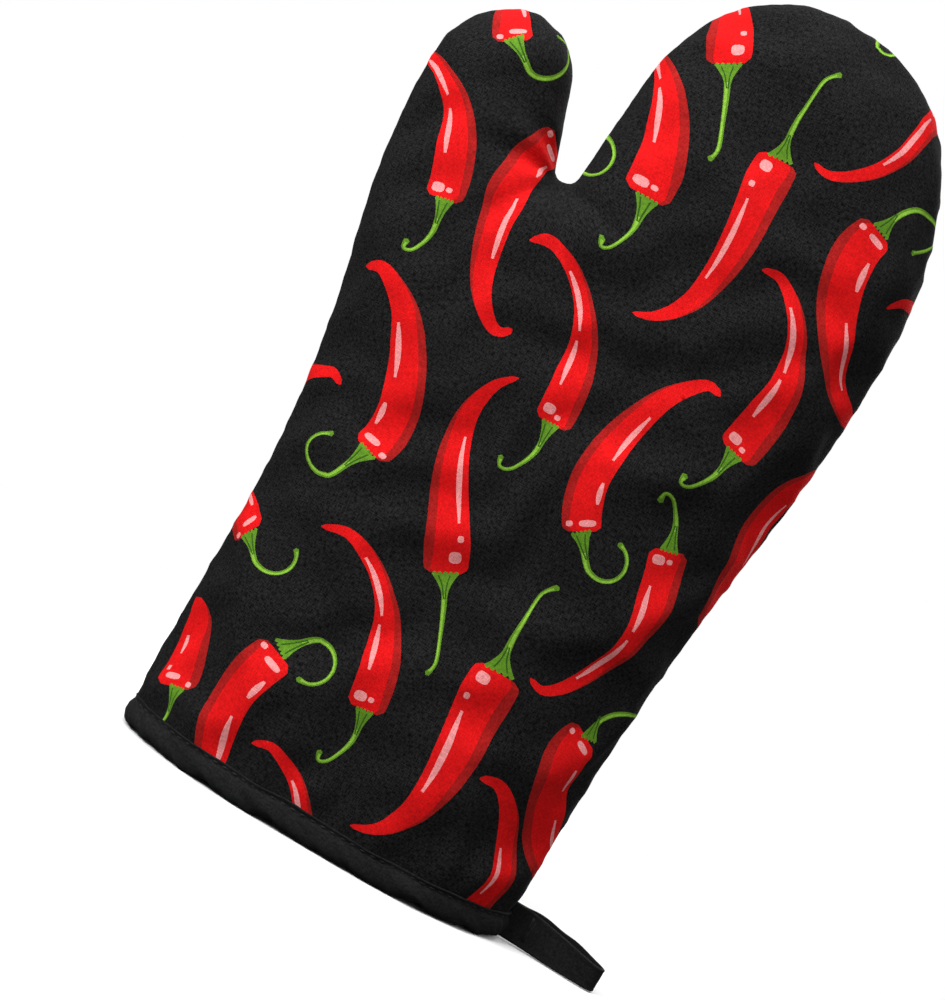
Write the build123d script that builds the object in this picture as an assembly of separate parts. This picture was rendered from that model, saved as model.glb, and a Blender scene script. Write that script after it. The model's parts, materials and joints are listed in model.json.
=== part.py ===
"""Quilted oven mitt with a bound cuff and a hanging loop of folded tape.

Frame: millimetres, +Z from the cuff to the fingertips, -Y out of the front panel, the thumb on
the -X side and the hanging loop on the +X side.  The origin is the centre of the cuff's opening,
on the plane that the mitt stands on.

The mitt is a bag in a bag.  Every layer follows one form, the outer surface of the mitt, and
lies at its own depth under it: shell cloth, batting, lining.  Each layer is a front and a back
half that meet in the plane of the side seams.
"""
from build123d import *
from math import cos, radians
import os

# ---- driving dimensions -------------------------------------------------------------------
MITT_LENGTH = 300.0          # cuff edge to fingertips, as the outline's arcs make it
WRIST_HEIGHT = 69.0          # where the thumb's side starts to flare out
CUFF_HALF_WIDTH = 68.0       # side seam to the middle of the cuff
CUFF_HALF_DEPTH = 31.0       # middle of the cuff to its front, with room for a hand
TIP_HALF_DEPTH = 20.0        # the same at the fingertips
EDGE_RADIUS = 12.0           # roundness between the face and the side seam

SHELL_CLOTH = 0.7            # printed cotton
BATTING = 4.0                # needled cotton wadding
LINING_CLOTH = 0.6
TAPE = 1.1                   # binding tape, one leaf of folded bias tape
BINDING_WIDTH = 9.0          # how far the binding reaches up the cuff
THREAD = 0.7                 # thickness of a row of stitches
STITCH_HEIGHT = 7.3          # of the binding's stitches above the cuff's edge

LOOP_WIDTH = 12.0            # tape width, along Z
LOOP_LIFT = 0.6              # lowest edge of the loop above the rest plane
LOOP_REACH = 33.5            # hinge line to the outside of the far fold
LOOP_TAPE = 1.0
LOOP_EYE_RADIUS = 3.6        # inside radius of the far fold
LOOP_ROOT_RADIUS = 1.1       # rolled end of the tape at the hinge line
LOOP_CLOSED = 8.0            # the two tape legs lie together this far from the hinge line
LOOP_CLEARANCE = 0.6         # from the rolled end to the binding, over its stitches
BARTACK_PLACE = 4.0          # hinge line to the bartack
BARTACK_WIDTH = 1.6
BARTACK_MARGIN = 1.5         # from the tape's edges to the bartack's ends

# depths of the layers under the outer surface; negative values stand proud of it
BATTING_TOP = SHELL_CLOTH
LINING_TOP = BATTING_TOP + BATTING
LINING_IN = LINING_TOP + LINING_CLOTH
BINDING_IN = LINING_IN + TAPE
BINDING_OUT = -TAPE

CUFF_OVERRUN = 30.0          # how far a form runs past the cuff before it is cut level
FAR = 400.0                  # larger than the mitt, for cutting tools
HINGE_X = CUFF_HALF_WIDTH + TAPE + LOOP_CLEARANCE + LOOP_ROOT_RADIUS


# ---- the form that every layer follows ------------------------------------------------------
def bend(before, radius, turn):
    """An arc that carries on from the line before; a positive turn, in degrees, is clockwise."""
    return JernArc(start=before @ 1, tangent=before % 1, radius=radius, arc_size=-turn)


def straight(before, length):
    """A straight stretch that carries on from the line before."""
    return Line(before @ 1, before @ 1 + (before % 1) * length)


def bend_to_side(before, side, turn):
    """The anticlockwise arc that leaves the outline upright, on the line x = side."""
    radius = ((before @ 1).X - side) / (1 - cos(radians(turn)))
    return bend(before, radius, -turn)


def mitt_outline():
    """Front outline as one face: up the thumb's side, round the crotch and the finger pocket."""
    with BuildSketch(Plane.XZ) as sketch:
        with BuildLine():
            wrist = Line((-CUFF_HALF_WIDTH, -CUFF_OVERRUN), (-CUFF_HALF_WIDTH, WRIST_HEIGHT))
            flare = bend(wrist, 374, -15)
            thumb_side = bend(flare, 235, 15)
            thumb_shoulder = bend(thumb_side, 28, 57)
            thumb_tip = bend(thumb_shoulder, 20, 103)
            thumb_inside = straight(thumb_tip, 27)
            crotch = bend(thumb_inside, 3.6, -156)
            pocket_inside = straight(crotch, 35)
            pocket_shoulder = bend(pocket_inside, 68, 21)
            pocket_corner = bend(pocket_shoulder, 44, 65)
            pocket_top = bend(pocket_corner, 80, 10)
            pocket_round = bend(pocket_top, 49, 52)
            pocket_side = bend(pocket_round, 123, 28)
            palm_side = bend(pocket_side, 505, 8)
            palm_heel = bend_to_side(palm_side, CUFF_HALF_WIDTH, 8)
            cuff_side = Line(palm_heel @ 1, (CUFF_HALF_WIDTH, -CUFF_OVERRUN))
            Line(cuff_side @ 1, wrist @ 0)
        make_face()
    return sketch.sketch


def side_profile(depth):
    """Side view of the form, tapering from the cuff to the fingertips."""
    slope = (CUFF_HALF_DEPTH - TIP_HALF_DEPTH) / MITT_LENGTH
    low = CUFF_HALF_DEPTH + slope * CUFF_OVERRUN - depth
    high = TIP_HALF_DEPTH - slope * CUFF_OVERRUN - depth
    bottom = -CUFF_OVERRUN
    top = MITT_LENGTH + CUFF_OVERRUN
    with BuildSketch(Plane.YZ) as sketch:
        Polygon((-low, bottom), (low, bottom), (high, top), (-high, top), align=None)
    return sketch.sketch


def form(depth):
    """The solid inside the surface that lies the given depth under the mitt's outside."""
    outline = mitt_outline()
    if depth != 0:
        outline = offset(outline, amount=-depth)
    prism = extrude(outline, amount=FAR / 4, both=True)
    wedge = extrude(side_profile(depth), amount=FAR, both=True)
    body = prism & wedge
    edges = [e for e in body.edges() if is_face_edge(e)]
    return fillet(edges, radius=EDGE_RADIUS - depth)


def is_face_edge(edge):
    """True for an edge between a broad face and the narrow side wall."""
    middle = edge.position_at(0.5)
    ends = (edge.position_at(0), edge.position_at(1))
    on_cut = all(abs(p.Z + CUFF_OVERRUN) < 10 for p in (middle, *ends))
    crosses = abs(ends[0].Y - ends[1].Y) > 10
    return not on_cut and not crosses


def slab(low, high):
    """Everything between two heights."""
    return Pos(0, 0, low) * Box(FAR, FAR, high - low, align=(Align.CENTER, Align.CENTER, Align.MIN))


def front_half():
    """Everything on the front side of the side seams' plane."""
    return Box(FAR, FAR, 2 * FAR, align=(Align.CENTER, Align.MAX, Align.CENTER))


def back_half():
    """Everything on the back side of the side seams' plane."""
    return Box(FAR, FAR, 2 * FAR, align=(Align.CENTER, Align.MIN, Align.CENTER))


# ---- layers of the bag ----------------------------------------------------------------------
def layer(outer_depth, inner_depth):
    """One layer of the bag between two depths, open at the cuff and standing in the binding."""
    skin = form(outer_depth) - form(inner_depth)
    return skin & slab(TAPE, MITT_LENGTH + CUFF_OVERRUN)


def seam_thread(outer_depth):
    """The thread of a side seam, round the whole outline in the seams' plane."""
    strip = Box(FAR, THREAD, 2 * FAR)
    return layer(outer_depth, outer_depth + THREAD) & strip


def cuff_ring(outer_depth, inner_depth, low, high):
    """A ring round the cuff between two depths and two heights."""
    return (form(outer_depth) - form(inner_depth)) & slab(low, high)


def cuff_binding():
    """One strip of tape folded over the rim: outer leaf, web under the rim, inner leaf."""
    block = cuff_ring(BINDING_OUT, BINDING_IN, 0, BINDING_WIDTH)
    rim = cuff_ring(0, LINING_IN, TAPE, BINDING_WIDTH + TAPE)
    return block - rim


# ---- hanging loop ---------------------------------------------------------------------------
def hull_of_circles(first_x, first_radius, second_x, second_radius):
    """The flat shape that a band makes round two circles on the X axis."""
    with BuildSketch() as sketch:
        with BuildLine():
            CenterArc((first_x, 0), first_radius, 0, 360)
            CenterArc((second_x, 0), second_radius, 0, 360)
        make_hull()
    return sketch.sketch


def hang_loop():
    """Tape folded on itself, with its two ends rolled together at the hinge line."""
    fold_x = HINGE_X + LOOP_REACH - LOOP_EYE_RADIUS - LOOP_TAPE
    outside = hull_of_circles(HINGE_X, LOOP_ROOT_RADIUS, fold_x, LOOP_EYE_RADIUS + LOOP_TAPE)
    eye = hull_of_circles(HINGE_X + LOOP_CLOSED, LOOP_TAPE / 4, fold_x, LOOP_EYE_RADIUS)
    return Pos(0, 0, LOOP_LIFT) * extrude(outside - eye, amount=LOOP_WIDTH)


def loop_bartack():
    """A bar of dense stitches across the tape, through both of its legs."""
    thickness = 2 * (LOOP_ROOT_RADIUS + THREAD)
    height = LOOP_WIDTH - 2 * BARTACK_MARGIN
    middle = (HINGE_X + BARTACK_PLACE, 0, LOOP_LIFT + LOOP_WIDTH / 2)
    return Pos(*middle) * Box(BARTACK_WIDTH, thickness, height)


# ---- assembly -------------------------------------------------------------------------------
def build_parts():
    """Every piece of the mitt by its node name."""
    shell = layer(0, BATTING_TOP)
    batting = layer(BATTING_TOP, LINING_TOP)
    lining = layer(LINING_TOP, LINING_IN)
    shell_thread = seam_thread(BATTING_TOP)
    lining_thread = seam_thread(LINING_TOP - THREAD)
    batting = batting - shell_thread - lining_thread
    bartack = loop_bartack()
    front = front_half()
    back = back_half()
    stitch_top = STITCH_HEIGHT + THREAD
    outer_stitch = cuff_ring(BINDING_OUT - THREAD / 2, BINDING_OUT, STITCH_HEIGHT, stitch_top)
    inner_stitch = cuff_ring(BINDING_IN, BINDING_IN + THREAD / 2, STITCH_HEIGHT, stitch_top)
    return {
        "front_panel": shell & front,
        "back_panel": shell & back,
        "front_batting": batting & front,
        "back_batting": batting & back,
        "front_lining": lining & front,
        "back_lining": lining & back,
        "shell_seam_thread": shell_thread,
        "lining_seam_thread": lining_thread,
        "cuff_binding": cuff_binding(),
        "binding_stitch_outer": outer_stitch,
        "binding_stitch_inner": inner_stitch,
        "hang_loop": hang_loop() - bartack,
        "loop_bartack": bartack,
    }


def main():
    """Write one STEP file for each piece."""
    os.makedirs("parts", exist_ok=True)
    for name, solid in build_parts().items():
        export_step(solid, f"parts/{name}.step")
        print(f"{name}: {len(solid.solids())} solid, {solid.volume / 1000:.2f} cm3")


main()
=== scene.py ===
"""Looks of the quilted oven mitt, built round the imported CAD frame.

Lengths are in metres, in the frame's own axes: +Z from the cuff to the fingertips, -Y out of the
front panel, the thumb at -X.  Flat cloth is laid out in millimetres on a chart of its own, where
its X and Z are those of the finished mitt wherever the cloth isn't turned round an edge.
"""
import json
import math

import bpy
import numpy as np
from mathutils import Matrix, Vector
from mathutils.geometry import delaunay_2d_cdt

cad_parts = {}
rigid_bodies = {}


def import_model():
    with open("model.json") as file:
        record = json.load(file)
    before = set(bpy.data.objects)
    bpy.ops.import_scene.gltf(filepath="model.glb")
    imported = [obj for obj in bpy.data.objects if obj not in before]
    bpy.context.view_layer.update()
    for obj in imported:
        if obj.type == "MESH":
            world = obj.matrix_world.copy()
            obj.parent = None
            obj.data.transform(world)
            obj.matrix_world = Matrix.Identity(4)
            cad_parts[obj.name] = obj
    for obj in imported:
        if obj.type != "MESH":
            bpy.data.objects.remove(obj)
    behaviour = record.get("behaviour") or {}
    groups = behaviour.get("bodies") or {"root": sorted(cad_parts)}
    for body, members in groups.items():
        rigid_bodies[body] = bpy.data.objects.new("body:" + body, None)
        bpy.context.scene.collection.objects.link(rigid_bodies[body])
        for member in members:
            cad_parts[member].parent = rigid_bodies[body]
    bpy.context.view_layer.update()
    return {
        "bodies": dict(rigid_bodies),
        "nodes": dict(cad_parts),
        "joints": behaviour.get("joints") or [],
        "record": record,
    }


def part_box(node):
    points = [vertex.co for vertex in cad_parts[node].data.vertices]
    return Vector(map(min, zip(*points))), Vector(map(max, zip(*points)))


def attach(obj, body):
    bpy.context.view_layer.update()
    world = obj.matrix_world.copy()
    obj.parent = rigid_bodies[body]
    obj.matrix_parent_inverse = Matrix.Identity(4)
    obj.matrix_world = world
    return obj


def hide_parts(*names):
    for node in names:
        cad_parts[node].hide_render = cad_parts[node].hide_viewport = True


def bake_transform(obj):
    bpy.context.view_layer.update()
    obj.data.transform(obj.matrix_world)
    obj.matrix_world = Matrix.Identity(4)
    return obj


MM = 0.001
FRONT, BACK = -1, 1                 # which side of the side seams a panel is on, along Y

# ---- the mitt's outline, as the CAD model has it ------------------------------------------
CUFF_HALF_WIDTH = 68.0
WRIST_HEIGHT = 69.0
OUTLINE_STEP = 0.9                  # spacing of the outline's points
# name, straight length or arc radius, clockwise turn in degrees,
# and at the stretch's end: how far the edge's roundness reaches in, how much cloth it takes up
OUTLINE = [
    ("wrist", WRIST_HEIGHT, 0, 46, 12),
    ("flare", 374, -15, 26, 11),
    ("thumb_side", 235, 15, 23, 10),
    ("thumb_shoulder", 28, 57, 22, 10),
    ("thumb_tip", 20, 103, 22, 6),
    ("thumb_inside", 27, 0, 22, 1),
    ("crotch", 3.6, -156, 24, 1),
    ("pocket_inside", 35, 0, 33, 8),
    ("pocket_shoulder", 68, 21, 36, 11),
    ("pocket_corner", 44, 65, 36, 11),
    ("pocket_top", 80, 10, 36, 11),
    ("pocket_round", 49, 52, 36, 11),
    ("pocket_side", 123, 28, 38, 11),
    ("palm_side", 505, 8, 44, 12),
    ("palm_heel", 0, -8, 50, 12),
    ("cuff_side", 0, 0, 50, 12),
]
CUFF_EDGE_RADIUS = 50               # how far the edge's roundness reaches in at the cuff
CUFF_WRAP = 12                      # cloth that the edge takes up at the cuff
CUFF_HALF_DEPTH = 31.5
TIP_HALF_DEPTH = 20.5
TIP_HEIGHT = 300.0

# ---- where the camera stands --------------------------------------------------------------
CAMERA_DISTANCE = 560.0
PICTURE_HEIGHT = 311.5              # of the plane of the side seams that the picture takes in
LEAN = math.radians(30.4)           # how far the mitt leans to the right in the picture
AIM = (-7.8, 113.2)                 # X and Z in the middle of the picture


def unit(vectors):
    """Vectors along the last axis at length one."""
    return vectors / np.maximum(np.linalg.norm(vectors, axis=-1, keepdims=True), 1e-9)


def smoothstep(low, high, value):
    """0 below low, 1 above high, and smooth between them."""
    t = np.clip((value - low) / (high - low), 0, 1)
    return t * t * (3 - 2 * t)


# ---- chart: the outline, and distances from it ---------------------------------------------
class Outline:
    """The mitt's outline in the plane of the side seams, from cuff to cuff round the fingers."""

    def __init__(self):
        points, radii, wraps = self.walk()
        self.points = np.array(points)
        self.radii = np.array(radii)
        self.wraps = np.array(wraps)
        ahead = unit(np.gradient(self.points, axis=0))
        self.normals = np.stack([-ahead[:, 1], ahead[:, 0]], axis=1)   # outwards
        steps = np.linalg.norm(np.diff(self.points, axis=0), axis=1)
        self.along = np.concatenate([[0], np.cumsum(steps)])

    def walk(self):
        """Points of the outline every step or so, with the edge's roundness and wrap at each."""
        x, z, heading = -CUFF_HALF_WIDTH, 0.0, 0.0
        radius, wrap = CUFF_EDGE_RADIUS, CUFF_WRAP
        points, radii, wraps = [(x, z)], [radius], [wrap]
        for name, size, turn, end_radius, end_wrap in OUTLINE:
            if name == "palm_heel":       # leaves the outline upright at the cuff's side
                size = (x - CUFF_HALF_WIDTH) / (1 - math.cos(math.radians(turn)))
            if name == "cuff_side":
                size = z
            length = size * math.radians(abs(turn)) if turn else size
            count = max(2, round(length / OUTLINE_STEP))
            start = (x, z, heading)
            for i in range(1, count + 1):
                share = i / count
                x, z, heading = self.stretch(start, size, turn, share)
                points.append((x, z))
                radii.append(radius + (end_radius - radius) * share)
                wraps.append(wrap + (end_wrap - wrap) * share)
            radius, wrap = end_radius, end_wrap
        return points, radii, wraps

    @staticmethod
    def stretch(start, size, turn, share):
        """Where a straight or an arc has got to after a share of it."""
        x, z, heading = start
        if not turn:
            return x + math.sin(heading) * size * share, z + math.cos(heading) * size * share, heading
        end = heading + math.radians(turn) * share
        side = math.copysign(size, turn)
        return (x + side * (math.cos(heading) - math.cos(end)),
                z + side * (math.sin(end) - math.sin(heading)), end)

    def nearest(self, places):
        """For each place: its distance inside the outline, the outward normal, radius and wrap."""
        extended = np.concatenate([self.points[:1] - [[0, 60]], self.points,
                                   self.points[-1:] - [[0, 60]]])
        start, end = extended[:-1], extended[1:]
        leg = end - start
        legs = (leg ** 2).sum(1)
        distance = np.empty(len(places))
        normal = np.empty((len(places), 2))
        index = np.empty(len(places))
        for low in range(0, len(places), 4000):
            part = places[low:low + 4000]
            offset = part[:, None] - start[None]
            share = np.clip((offset * leg).sum(2) / legs, 0, 1)
            gap = offset - share[..., None] * leg
            squares = (gap ** 2).sum(2)
            best = squares.argmin(1)
            rows = np.arange(len(part))
            at = np.clip(best - 1 + share[rows, best], 0, len(self.points) - 1)
            outward = self.sample(self.normals, at)
            away = gap[rows, best]
            sign = np.where((away * outward).sum(1) > 0, -1.0, 1.0)
            far = np.sqrt(squares[rows, best])
            distance[low:low + 4000] = sign * far
            steady = far[:, None] > 0.05
            normal[low:low + 4000] = np.where(steady, -sign[:, None] * unit(away), outward)
            index[low:low + 4000] = at
        return distance, normal, self.sample(self.radii, index), self.sample(self.wraps, index), \
            self.sample(self.along, index)

    @staticmethod
    def sample(values, at):
        """Values between the outline's points."""
        low = np.clip(np.floor(at).astype(int), 0, len(values) - 2)
        share = at - low
        if values.ndim > 1:
            share = share[:, None]
        return values[low] * (1 - share) + values[low + 1] * share

    def flat(self):
        """The flat panel's edge: the outline with the cloth that goes round the edge."""
        return self.points + self.normals * self.wraps[:, None]


def half_depth(x, z):
    """How far the mitt's face stands from the plane of the side seams."""
    depth = CUFF_HALF_DEPTH + (TIP_HALF_DEPTH - CUFF_HALF_DEPTH) * np.clip(z / TIP_HEIGHT, 0, 1)
    middle = 4 + 22 * np.clip(z / 240, 0, 1)
    crown = 1 - 0.15 * ((x - middle) / 75) ** 2
    return depth * np.clip(crown, 0.72, 1)


class Waves:
    """Smooth, repeatable unevenness: a few sine waves in seeded directions."""

    def __init__(self, seed, wavelength, count=7, spread=0.45):
        random = np.random.default_rng(seed)
        turns = random.uniform(0, 2 * math.pi, count)
        lengths = wavelength * random.uniform(1 - spread, 1 + spread, count)
        self.pulse = np.stack([np.cos(turns), np.sin(turns)], 1) * 2 * math.pi / lengths[:, None]
        self.phase = random.uniform(0, 2 * math.pi, count)
        self.share = 1 / math.sqrt(count / 2)

    def at(self, places):
        """Unevenness at places in the plane, mostly between -1 and 1."""
        return np.sin(places @ self.pulse.T + self.phase).sum(1) * self.share

    def along(self, distance):
        """The same along a line."""
        return self.at(np.stack([distance, np.zeros_like(distance)], 1))


# folds in the cloth: from, to, half width, height; a negative height is a crease
FOLDS = [
    ((-40, 214), (-58, 227), 3.2, -1.7),
    ((-38, 210), (-62, 209), 3.2, -1.6),
    ((-36, 206), (-52, 186), 3.6, -1.4),
    ((-31, 205), (-19, 184), 3.4, -1.8),
    ((-28, 208), (-8, 203), 2.8, -1.6),
    ((-39, 212), (-60, 218), 2.6, 1.2),
    ((-33, 207), (-33, 196), 6.0, -2.2),
    ((-33, 206), (-33, 168), 5.0, 0.7),
    ((-20, 200), (-30, 120), 9.0, 0.8),
    ((66, 250), (58, 168), 6.0, 0.8),
    ((50, 180), (38, 90), 9.0, -0.8),
    ((-56, 150), (-44, 60), 9.0, -0.7),
    ((34, 14), (24, 46), 3.2, -0.9),
    ((42, 13), (44, 38), 2.8, -0.9),
    ((38, 12), (34, 42), 2.6, 0.7),
    ((-30, 13), (-22, 40), 4.0, -0.6),
    ((-66, 20), (-54, 52), 4.0, -0.7),
    ((4, 13), (2, 34), 3.0, -0.5),
]


def fold_relief(chart):
    """Height of the listed folds over the chart."""
    relief = np.zeros(len(chart))
    for start, end, half_width, height in FOLDS:
        start, leg = np.array(start, float), np.array(end, float) - np.array(start, float)
        offset = chart - start
        share = (offset @ leg) / (leg @ leg)
        gap = np.linalg.norm(offset - np.clip(share, 0, 1)[:, None] * leg, axis=1)
        ends = smoothstep(-0.25, 0.15, share) * (1 - smoothstep(0.5, 1.15, share))
        relief += height * ends * np.exp(-(gap / half_width) ** 2)
    return relief


BATTING_TOP = 0.7                   # depth of the batting's outside under the shell's outside
LINING_DEPTH = 5.2                  # depth of the lining
CUFF_SQUEEZE = 1.3                  # how far the binding's stitches pull the padding in
SEAM_GROOVE = 0.6                   # how far the side seam lies in the padding
GROOVE_WIDTH = 1.7
SWELL = 0.55                        # height of the padding's broad unevenness
FINER_SWELL = 0.22
SEAM_TUCKS = 0.3                    # height of the tucks along the side seam
TUCKS_WIDTH = 7
CUFF_RUFFLE = 0.5                   # height of the ruffle above the binding
RUFFLE_AT = 14                      # where it is highest, above the rim
RUFFLE_WIDTH = 8
BACK_WAVES = 400                    # how far along the waves the back panel starts
BACK_FOLDS = 0.8                    # height of the back's folds against the front's
BACK_FOLDS_SHIFT = [4, -3]
pucker_near_seam = Waves(3, 13.0)
pucker_fine = Waves(4, 6.5)
pucker_cuff = Waves(5, 16.0)
undulation = Waves(6, 62.0)
unevenness = Waves(8, 24.0)


settled = {}                        # side: Settled, once the cloth has been simulated


def cuff_pinch(height):
    """0 above the cuff and 1 where the binding's stitches flatten the layers."""
    return 1 - smoothstep(7, 17, height)


def relief_of(chart, reach, along, side):
    """How far the sewn, padded cloth stands out from the smooth form."""
    height = chart[:, 1]
    shifted = chart + (0 if side == FRONT else BACK_WAVES)
    relief = SWELL * undulation.at(shifted) + FINER_SWELL * unevenness.at(shifted)
    relief = relief * smoothstep(2, 20, reach) * smoothstep(8, 26, height)
    relief -= SEAM_GROOVE * np.exp(-(reach / GROOVE_WIDTH) ** 2) * smoothstep(3, 12, height)
    tucks = pucker_near_seam.along(along) + 0.6 * pucker_fine.along(along)
    relief += (SEAM_TUCKS * tucks * np.exp(-(reach / TUCKS_WIDTH) ** 2)
               * smoothstep(1, 6, reach) * smoothstep(10, 22, height))
    relief -= CUFF_SQUEEZE * cuff_pinch(height)
    near_cuff = np.exp(-((height - RUFFLE_AT) / RUFFLE_WIDTH) ** 2)
    ruffle = pucker_cuff.at(shifted * [1, 0.2]) + 0.4 * unevenness.at(shifted * [1.6, 0.3])
    relief += CUFF_RUFFLE * ruffle * near_cuff * smoothstep(2, 14, reach)
    if side == FRONT:
        folds = fold_relief(chart)
    else:
        folds = BACK_FOLDS * fold_relief(chart + BACK_FOLDS_SHIFT)
    if side in settled:           # faded out towards the cuff and the seam
        folds = folds + settled[side].at(chart) * smoothstep(10, 22, height) * smoothstep(2, 18, reach)
    return relief + folds * smoothstep(0, 5, reach)


def fold_up(outline, chart, side, depth=0.0, relief=True):
    """Takes places on the flat chart to the mitt's padded surface, or to a depth under it."""
    distance, normal, radius, wrap, along = outline.nearest(chart)
    share = np.clip((distance + wrap) / (radius + wrap), 0, 1)
    angle = share * math.pi / 2
    reach = radius * (1 - np.cos(angle))
    inside = np.where(share < 1, reach, distance)
    flat_place = chart + normal * (distance - inside)[:, None]
    face = half_depth(flat_place[:, 0], flat_place[:, 1])
    place = np.stack([flat_place[:, 0], side * face * np.sin(angle), flat_place[:, 1]], axis=1)
    outward = np.stack([normal[:, 0] * face * np.cos(angle),
                        side * radius * np.sin(angle),
                        normal[:, 1] * face * np.cos(angle)], axis=1)
    outward = unit(outward)
    rise = -np.broadcast_to(depth, len(chart)).astype(float)
    if relief:
        rise = rise + relief_of(chart, distance + wrap, along, side)
    return place + outward * rise[:, None]


def unfold(outline, seen):
    """Takes places as the camera sees them, in the plane of the side seams, to the flat chart."""
    aim = np.array(AIM)
    places = seen
    for _ in range(3):
        distance, normal, radius, wrap, _ = outline.nearest(places)
        inside = np.clip(distance / radius, 0, 1)
        angle = np.arccos(1 - inside)
        nearer = half_depth(places[:, 0], places[:, 1]) * np.sin(angle) / CAMERA_DISTANCE
        places = aim + (seen - aim) * (1 - nearer)[:, None]
    distance, normal, radius, wrap, _ = outline.nearest(places)
    angle = np.arccos(1 - np.clip(distance / radius, 0, 1))
    flat = angle / (math.pi / 2) * (radius + wrap) - wrap
    flat = np.where(distance < 0, distance - wrap, np.where(distance > radius, distance, flat))
    return places + normal * (distance - flat)[:, None]


# ---- print: chilli peppers ------------------------------------------------------------------
INKS = ("cloth", "red", "dark_red", "pink", "green", "light_green", "dark_green")
PRINT_REPEAT = np.array([5.0, -182.5])
PRINT_SHIFT = np.array([1.0, 2.5])
BACK_SHIFT = np.array([6.0, 74.0])  # of the print on the back panel


def smooth_line(points, step=1.3):
    """A curve through the points, sampled every step."""
    p = np.array(points, float)
    p = np.concatenate([[2 * p[0] - p[1]], p, [2 * p[-1] - p[-2]]])
    out = []
    for a, b, c, d in zip(p[:-3], p[1:-2], p[2:-1], p[3:]):
        count = max(2, int(np.linalg.norm(c - b) / step))
        for t in np.arange(count) / count:
            out.append(0.5 * (2 * b + (c - a) * t + (2 * a - 5 * b + 4 * c - d) * t ** 2
                              + (3 * b - a - 3 * c + d) * t ** 3))
    out.append(p[-2])
    return np.array(out)


def sides(line):
    """Unit vectors to the left of the line's direction."""
    ahead = unit(np.gradient(line, axis=0))
    return np.stack([-ahead[:, 1], ahead[:, 0]], axis=1)


def ribbon(line, left, right):
    """The outline between two offsets from a line, each a number or one for each point."""
    side = sides(line)
    left = np.broadcast_to(left, len(line))[:, None]
    right = np.broadcast_to(right, len(line))[:, None]
    return np.concatenate([line + side * left, (line + side * right)[::-1]])


def travelled(line):
    """Distance along a line to each of its points."""
    return np.concatenate([[0], np.cumsum(np.linalg.norm(np.diff(line, axis=0), axis=1))])


def blob(centre, along, long_radius, short_radius):
    """The outline of a rounded blob of light."""
    angles = np.linspace(0, 2 * math.pi, 20, endpoint=False)
    c, s = np.cos(angles), np.sin(angles)
    u = np.sign(c) * np.abs(c) ** (2 / BLOB_SQUARE) * long_radius
    v = np.sign(s) * np.abs(s) ** (2 / BLOB_SQUARE) * short_radius
    across = np.array([-along[1], along[0]])
    return centre + u[:, None] * along + v[:, None] * across


# four kinds of pepper, each drawn the same way wherever it is: half width at WIDTH_AT, from
# the stem to the tip; strokes of light: from, to, how far towards the lit side; blobs of light:
# distance from the stem's end, how far towards the lit side, half length across, half thickness
WIDTH_AT = (0, 0.12, 0.25, 0.4, 0.55, 0.7, 0.82, 0.92, 1)
RING_STEMMED = {
    "half": (6.1, 6.2, 6.0, 5.7, 4.85, 3.65, 2.6, 1.85, 1.0),
    "strokes": [(0.12, 0.25, 0.70), (0.36, 0.63, 0.52)],
    "blobs": [(2.7, 0.30, 2.6, 1.0), (2.1, -0.62, 1.0, 0.85)],
    "cap": 6.2,
}
SLIM = {
    "half": (6.1, 6.25, 6.0, 4.5, 3.1, 2.5, 2.0, 1.45, 0.7),
    "strokes": [(0.18, 0.42, 0.50), (0.45, 0.76, 0.42)],
    "blobs": [(3.6, 0.45, 1.9, 1.5), (2.7, -0.12, 0.9, 0.8)],
    "cap": 5.6,
}
STRAIGHT = {
    "half": (6.9, 7.3, 6.5, 5.8, 4.75, 3.5, 2.35, 1.4, 0.6),
    "strokes": [(0.21, 0.62, 0.50)],
    "blobs": [(4.2, 0.38, 1.9, 1.75), (10.0, 0.58, 0.95, 1.0)],
    "cap": 8.2,
}
BROAD = dict(RING_STEMMED, half=(7.4, 8.2, 8.5, 8.3, 7.6, 6.4, 4.8, 3.0, 1.2))
BODY_WIDTH = 0.96                   # of each kind's half width
BLOB_SQUARE = 2.8                   # 2 is an ellipse, more has corners
STROKE = 0.85                       # half width of a stroke of light
STEM_HALF = 0.9                     # half width of a stem near its cap
CAP_LENGTH = 6.6                    # of the cap's flare along the stem
CAP_OVERLAP = 0.9                   # how far the cap starts inside the body
SCALLOPS = 5                        # round the cap's edge
SHOULDER = 2.6                      # length of the rounding where a body starts
BAND = (1.0, 0.45)                  # shaded band: where it starts and how wide, in half widths


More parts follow.
